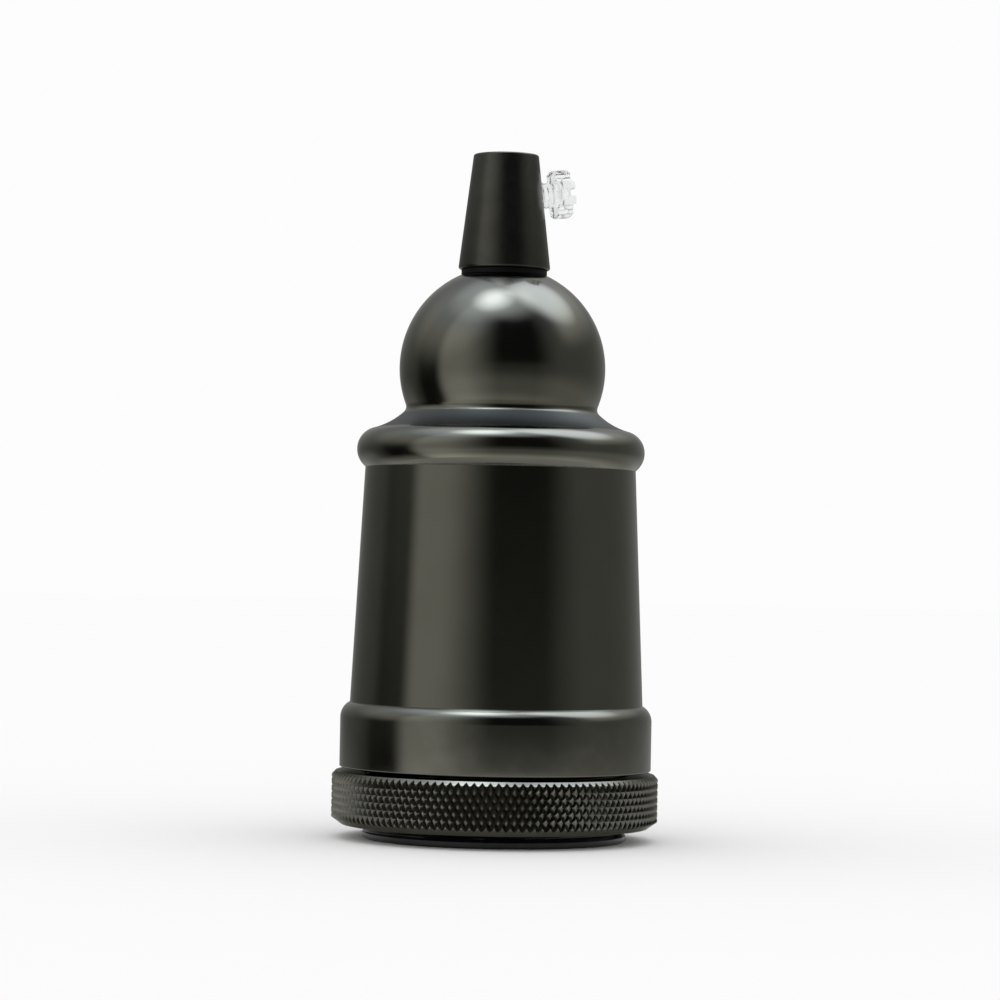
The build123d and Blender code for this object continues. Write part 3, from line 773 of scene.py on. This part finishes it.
def sleeve():
    """Black moulded sleeve with a coarse helical thread for the ring."""
    low = SLEEVE_RIM_LAND

    def section(angle):
        outline = [
            (MOUTH_RADIUS + MOUTH_CHAMFER, 0),
            (SLEEVE_RADIUS - SLEEVE_RIM_CHAMFER, 0),
            (SLEEVE_RADIUS, SLEEVE_RIM_CHAMFER),
        ]
        for row in range(SLEEVE_THREAD_ROWS + 1):
            z = low + (FOOT_Z - low) * row / SLEEVE_THREAD_ROWS
            depth = groove((z - low) / SLEEVE_PITCH, angle, *SLEEVE_GROOVE, SLEEVE_GROOVE_SHIFT)
            fade = min(1.0, (z - low) / SLEEVE_RUN_IN, (FOOT_Z - z) / SLEEVE_RUN_OUT)
            outline.append((SLEEVE_RADIUS - SLEEVE_ROOT_DEPTH * depth * max(0.0, fade), z))
        outline += [
            (SLEEVE_FLANGE_RADIUS, FOOT_Z + SLEEVE_FLANGE_LIFT),
            (SLEEVE_FLANGE_RADIUS, SLEEVE_FLANGE_TOP),
            (SLEEVE_BODY_RADIUS, SLEEVE_FLANGE_TOP),
            (SLEEVE_BODY_RADIUS, SLEEVE_TOP),
            (POCKET_RADIUS, SLEEVE_TOP),
            (POCKET_RADIUS, MOUTH_DEPTH),
            (MOUTH_RADIUS, MOUTH_DEPTH),
            (MOUTH_RADIUS, MOUTH_CHAMFER),
        ]
        return outline

    piece = turned_by_angle("sleeve_moulded", section, segments=192, crease=35)
    dress(piece, "holder", "phenolic", "sleeve")


def cord_grip():
    """Conical grip: softened edges, a hole in its side, and a bore that is wider at the foot."""
    thread_top = grip_foot_z + GRIP_THREAD_DEPTH
    corners = [
        (THREAD_BORE_RADIUS, grip_foot_z, GRIP_THREAD_ROUND),
        (GRIP_FOOT_RADIUS, grip_foot_z, GRIP_FOOT_ROUND),
        (GRIP_TOP_RADIUS, grip_top_z, GRIP_TOP_ROUND),
        (CORD_BORE_RADIUS, grip_top_z, GRIP_TOP_ROUND),
        (CORD_BORE_RADIUS, thread_top, 0),
        (THREAD_BORE_RADIUS, thread_top, 0),
    ]
    piece = turned("cord_grip_turned", rounded(corners, steps=6))
    hole = rod("side_hole", GRIP_HOLE_RADIUS, 0, GRIP_HOLE_REACH)
    hole.matrix_world = thumb_place()
    combine(piece, hole, "DIFFERENCE")
    shade(piece, 30)
    dress(piece, "grip", "grip_black", "cord_grip")


def grip_washer():
    """Thin washer between the grip and the crown."""
    corners = [
        (THREAD_BORE_RADIUS, crown_z, WASHER_ROUND),
        (WASHER_RADIUS, crown_z, WASHER_ROUND),
        (WASHER_RADIUS, grip_foot_z, WASHER_ROUND),
        (THREAD_BORE_RADIUS, grip_foot_z, WASHER_ROUND),
    ]
    piece = turned("grip_washer_cut", rounded(corners, steps=4), segments=128)
    dress(piece, "holder", "black_nylon", "grip_washer")


def nipple():
    """Hollow tube with its thread all the way, chamfered at both ends."""
    top = grip_foot_z + NIPPLE_GRIP_LENGTH
    rows = round((top - NIPPLE_FOOT) / NIPPLE_PITCH * NIPPLE_ROWS_PER_TURN)

    def section(angle):
        outline = [(NIPPLE_BORE_RADIUS, NIPPLE_FOOT), (NIPPLE_BORE_RADIUS, top)]
        for row in range(rows + 1):
            z = top - (top - NIPPLE_FOOT) * row / rows
            depth = groove(z / NIPPLE_PITCH, angle, *NIPPLE_GROOVE)
            end = max(0.0, NIPPLE_CHAMFER - min(z - NIPPLE_FOOT, top - z))
            outline.append((NIPPLE_RADIUS - max(end, NIPPLE_THREAD_DEPTH * depth), z))
        return outline

    piece = turned_by_angle("nipple_threaded", section, segments=64, crease=35)
    dress(piece, "holder", "zinc_steel", "nipple")


def thumb_place():
    """Frame with its Z axis out along the thumb screw."""
    move = Matrix.Translation((0, 0, thumb_z * MM))
    swing = Matrix.Rotation(math.radians(THUMB_AZIMUTH), 4, "Z")
    tilt = Matrix.Rotation(math.pi / 2 - grip_slope, 4, "Y")
    return move @ swing @ tilt


def thumb_outline():
    """Round head with four flutes in its rim."""
    outline = []
    quarter = math.pi / 2
    flute_centre = THUMB_HEAD_RADIUS + THUMB_FLUTE_RADIUS / 8
    for column in range(THUMB_HEAD_COLUMNS):
        angle = TURN * column / THUMB_HEAD_COLUMNS
        off = (angle - math.pi / 4) % quarter
        off = min(off, quarter - off)
        radius = THUMB_HEAD_RADIUS
        aside = flute_centre * math.sin(off)
        if aside < THUMB_FLUTE_RADIUS:
            depth = math.sqrt(THUMB_FLUTE_RADIUS**2 - aside**2)
            radius = min(radius, flute_centre * math.cos(off) - depth)
        outline.append((radius * math.cos(angle), radius * math.sin(angle)))
    return outline


def thumb_screw():
    """Clear fluted screw: slotted head and a real thread below it."""
    under = thumb_side + THUMB_STAND_OFF
    top = under + THUMB_HEAD_THICKNESS
    outline = thumb_outline()
    levels = [(under + rise, grow) for rise, grow in THUMB_HEAD_RIM]
    levels += [(top - rise, grow) for rise, grow in reversed(THUMB_HEAD_RIM)]
    points = [(x * grow, y * grow, z) for z, grow in levels for x, y in outline]
    head = stacked("thumb_screw_clear", points, THUMB_HEAD_COLUMNS)
    slot = box("slot", THUMB_SLOT_WIDTH, 3 * THUMB_HEAD_RADIUS, top - THUMB_SLOT_DEPTH, top + 1)
    combine(head, slot, "DIFFERENCE")
    combine(head, thumb_shank(under), "UNION")
    head.data.transform(thumb_place())
    shade(head, 28)
    soften(head, THUMB_EDGE_ROUND)
    dress(head, "thumb", "clear_plastic", "thumb_screw")


def thumb_shank(under):
    """Threaded shank that ends just short of the cord's bore."""
    tip = CORD_BORE_RADIUS + THUMB_TIP_CLEARANCE
    top = under + THUMB_SHANK_OVERLAP
    points = []
    for row in range(THUMB_SHANK_ROWS + 1):
        z = tip + (top - tip) * row / THUMB_SHANK_ROWS
        taper = max(0.0, tip + THUMB_TIP_LENGTH - z) * THUMB_TIP_TAPER
        for column in range(THUMB_SHANK_COLUMNS):
            angle = TURN * column / THUMB_SHANK_COLUMNS
            depth = groove(z / THUMB_PITCH, angle, *THUMB_GROOVE)
            radius = THUMB_RADIUS - THUMB_THREAD_DEPTH * depth - taper
            points.append((radius * math.cos(angle), radius * math.sin(angle), z))
    return stacked("shank", points, THUMB_SHANK_COLUMNS)


def box(name, width, length, low, high):
    """An upright block about the Z axis."""
    corners = ((-1, -1), (1, -1), (1, 1), (-1, 1))
    points = [(x * width / 2, y * length / 2, z) for z in (low, high) for x, y in corners]
    faces = [(3, 2, 1, 0), (4, 5, 6, 7)]
    faces += [(i, (i + 1) % 4, 4 + (i + 1) % 4, 4 + i) for i in range(4)]
    return mesh_object(name, points, faces)


def screw_shell():
    """Sheet brass cup with its rolled lamp thread, flanged in at the top."""
    bore = CUP_RADIUS - CUP_SHEET
    flange_z = SLEEVE_TOP - CUP_SHEET
    heights = [CUP_FOOT + (flange_z - CUP_FOOT) * row / CUP_ROWS for row in range(CUP_ROWS + 1)]
    flange = [
        (CUP_FLANGE_RADIUS, flange_z),
        (CUP_FLANGE_RADIUS, SLEEVE_TOP),
        (CUP_RADIUS, SLEEVE_TOP),
    ]

    def roll(angle, z):
        """How far the sheet is pressed in."""
        turns = (z - LAMP_THREAD_START) / LAMP_PITCH
        wave = 0.5 - 0.5 * math.cos(TURN * (turns - angle / TURN))
        begun = max(0.0, turns + LAMP_THREAD_RUN_IN) * LAMP_THREAD_FADE
        left = max(0.0, LAMP_THREAD_TURNS + LAMP_THREAD_RUN_OUT - turns) * LAMP_THREAD_FADE
        return LAMP_THREAD_DEPTH * wave**LAMP_THREAD_SHARPNESS * min(1.0, begun, left)

    def section(angle):
        inside = [(bore - roll(angle, z), z) for z in heights]
        outside = [(CUP_RADIUS - roll(angle, z), z) for z in reversed(heights)]
        return inside + flange + outside

    piece = turned_by_angle("screw_shell_rolled", section, segments=160, crease=40)
    dress(piece, "holder", "brass", "screw_shell")


def dress_fittings():
    """The fittings inside keep their solids and take the finish of their slot."""
    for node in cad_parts.values():
        if not node.hide_render:
            node.data.materials[0] = FINISHES[node.data.materials[0].name]


shell()
shade_ring()
sleeve()
cord_grip()
grip_washer()
nipple()
thumb_screw()
screw_shell()
dress_fittings()


# Studio


def floor():
    """Plain pale floor; only its near disc shows in reflections."""
    finish = Finish("pale_floor", Roughness=1.0, Specular_IOR_Level=0.0)
    finish.colour(finish.blend(finish.noise(3, 2), (0.985, 0.985, 0.985), (1.0, 1.0, 1.0)))
    count = FLOOR_CORNERS
    turns = [TURN * column / count for column in range(count)]
    rim, edge = (
        [(radius * math.cos(turn), radius * math.sin(turn), 0) for turn in turns]
        for radius in (FLOOR_NEAR_RADIUS, FLOOR_FAR_RADIUS)
    )
    bands = []
    for column in range(count):
        after = (column + 1) % count
        bands.append((column, count + column, count + after, after))
    disc = mesh_object("floor_near", rim, [tuple(range(count))])
    rest = mesh_object("floor_far", rim + edge, bands)
    rest.visible_glossy = False
    for ground in (disc, rest):
        ground.data.materials.append(finish.material)


class Room:
    """What the polished surfaces reflect: a world of soft lights and dark flags.

    Azimuth 0 is on the camera's side and grows to the right; angles are in degrees.
    """

    def __init__(self):
        self.world = bpy.data.worlds.new("studio")
        self.world.use_nodes = True
        self.world.cycles.sampling_method = "NONE"
        bpy.context.scene.world = self.world
        self.nodes, self.links = self.world.node_tree.nodes, self.world.node_tree.links
        self.nodes.clear()
        self.way = self.nodes.new("ShaderNodeTexCoord").outputs["Generated"]
        split = self.nodes.new("ShaderNodeSeparateXYZ")
        self.links.new(self.way, split.inputs[0])
        self.height = split.outputs["Z"]
        forward = self.math("MULTIPLY", split.outputs["Y"], -1.0)
        turn = self.math("ARCTAN2", split.outputs["X"], forward)
        self.azimuth = self.math("MULTIPLY", turn, 180 / math.pi)
        self.light = None

    def math(self, operation, first, second):
        node = self.nodes.new("ShaderNodeMath")
        node.operation = operation
        for socket, value in zip(node.inputs, (first, second)):
            if isinstance(value, (int, float)):
                socket.default_value = value
            else:
                self.links.new(value, socket)
        return node.outputs[0]

    def step(self, value, low, high, to_low, to_high):
        """Goes smoothly from one level to another between low and high."""
        node = self.nodes.new("ShaderNodeMapRange")
        node.interpolation_type = "SMOOTHSTEP"
        levels = {"From Min": low, "From Max": high, "To Min": to_low, "To Max": to_high}
        for socket, level in levels.items():
            node.inputs[socket].default_value = level
        self.links.new(value, node.inputs["Value"])
        return node.outputs["Result"]

    def add(self, value):
        self.light = value if self.light is None else self.math("ADD", self.light, value)

    def panel(self, level, left, right, soft_left, soft_right, low=None, high=None):
        """An upright light between two azimuths with blurred edges.

        It fades in upward between the two elevations in low, and fades out between those in high.
        """
        band = self.math(
            "MULTIPLY",
            self.step(self.azimuth, left - soft_left, left + soft_left, 0.0, level),
            self.step(self.azimuth, right - soft_right, right + soft_right, 1.0, 0.0),
        )
        if low:
            rise = [math.sin(math.radians(angle)) for angle in low]
            band = self.math("MULTIPLY", band, self.step(self.height, *rise, 0.0, 1.0))
        if high:
            fall = [math.sin(math.radians(angle)) for angle in high]
            band = self.math("MULTIPLY", band, self.step(self.height, *fall, 1.0, 0.0))
        self.add(band)

    def round_light(self, level, azimuth, elevation, reach):
        """A round soft light in one direction, gone at the angle of its reach."""
        turn, lift = math.radians(azimuth), math.radians(elevation)
        dot = self.nodes.new("ShaderNodeVectorMath")
        dot.operation = "DOT_PRODUCT"
        self.links.new(self.way, dot.inputs[0])
        dot.inputs[1].default_value = (
            math.sin(turn) * math.cos(lift),
            -math.cos(turn) * math.cos(lift),
            math.sin(lift),
        )
        self.add(self.step(dot.outputs["Value"], math.cos(math.radians(reach)), 1.0, 0.0, level))

    def connect(self):
        """White to the eye, to matte surfaces and through clear plastic; mirrors see the lights."""
        white = self.nodes.new("ShaderNodeBackground")
        white.inputs["Color"].default_value = (0.98, 0.98, 0.98, 1.0)
        room = self.nodes.new("ShaderNodeBackground")
        self.links.new(self.light, room.inputs["Strength"])
        tone = self.nodes.new("ShaderNodeMix")
        tone.data_type = "RGBA"
        self.links.new(self.step(self.height, 0.4, 0.85, 0.0, 1.0), tone.inputs[0])
        tone.inputs[6].default_value = (1.0, 1.0, 0.96, 1.0)
        tone.inputs[7].default_value = (0.91, 0.98, 1.11, 1.0)
        self.links.new(tone.outputs[2], room.inputs["Color"])
        path = self.nodes.new("ShaderNodeLightPath")
        outside = self.math("LESS_THAN", path.outputs["Transmission Depth"], 0.5)
        mirrored = self.math("MULTIPLY", path.outputs["Is Glossy Ray"], outside)
        mix = self.nodes.new("ShaderNodeMixShader")
        self.links.new(mirrored, mix.inputs["Fac"])
        self.links.new(white.outputs[0], mix.inputs[1])
        self.links.new(room.outputs[0], mix.inputs[2])
        out = self.nodes.new("ShaderNodeOutputWorld")
        self.links.new(mix.outputs[0], out.inputs["Surface"])


def lights():
    """Large panel front left, dim walls, bright top and a second top light behind right."""
    room = Room()
    # Faint light from everywhere
    room.add(0.024)
    # Tall panel at the front on the left, and the dim wall behind it
    room.panel(0.71, -75, -26, 8, 25)
    room.panel(0.11, -BACK_WALL, -109, 15, 8)
    # Low glow at the front, below eye level
    room.panel(0.09, -24, 56, 10, 10, high=(0, 8))
    # Dim wall on the right
    room.panel(0.24, 54, BACK_WALL, 18, 15)
    # Upper walls on both sides, brighter towards the ceiling
    room.panel(0.41, -BACK_WALL, -76, 15, 12, low=(-14, 70))
    room.panel(0.84, 79, 160, 13, 18, low=(14, 42))
    # Glow of the floor, all round but for the left
    room.panel(0.24, -70, BEYOND_SEAM, 12, 5, high=(-18, 0))
    room.panel(0.24, -BEYOND_SEAM, -125, 5, 12, high=(-18, 0))
    # Steep glow of the floor next to the holder, all round
    room.panel(0.70, -BEYOND_SEAM, BEYOND_SEAM, 5, 5, high=(-55, -24))
    # Wall behind, in two parts that meet at the seam
    for left, right in ((-BEYOND_SEAM, -BACK_WALL), (BACK_WALL, BEYOND_SEAM)):
        room.panel(0.2, left, right, 15, 15)
        room.panel(0.3, left, right, 15, 15, low=(-14, 70))
    # Wide soft light high on the left
    room.round_light(0.44, -86, 51, 53)
    # Main top light with its bright core
    room.round_light(3.3, -48, 79, 20)
    room.round_light(1.3, -50, 80, 11)
    # Second top light, behind on the right
    room.round_light(2.9, 114, 60, 30)
    # Ceiling lit round both
    room.round_light(1.04, -78, 80, 39)
    room.round_light(0.95, 18, 77, 29)
    room.connect()


def camera():
    """Long lens close to the holder's middle height; a slight roll follows the lean in the view."""
    lens = bpy.data.cameras.new("camera")
    lens.sensor_width = 36.0
    lens.lens = CAMERA_LENS
    lens.clip_start, lens.clip_end = 0.05, 20
    viewer = new_object("camera", lens)
    viewer.location = Vector(CAMERA_PLACE) * MM
    roll = Matrix.Rotation(math.radians(CAMERA_ROLL), 4, "Z")
    pitch = Matrix.Rotation(math.radians(CAMERA_PITCH), 4, "X")
    viewer.rotation_euler = (pitch @ roll).to_euler()
    bpy.context.scene.camera = viewer


floor()
lights()
camera()
bpy.context.scene.view_settings.view_transform = "Standard"
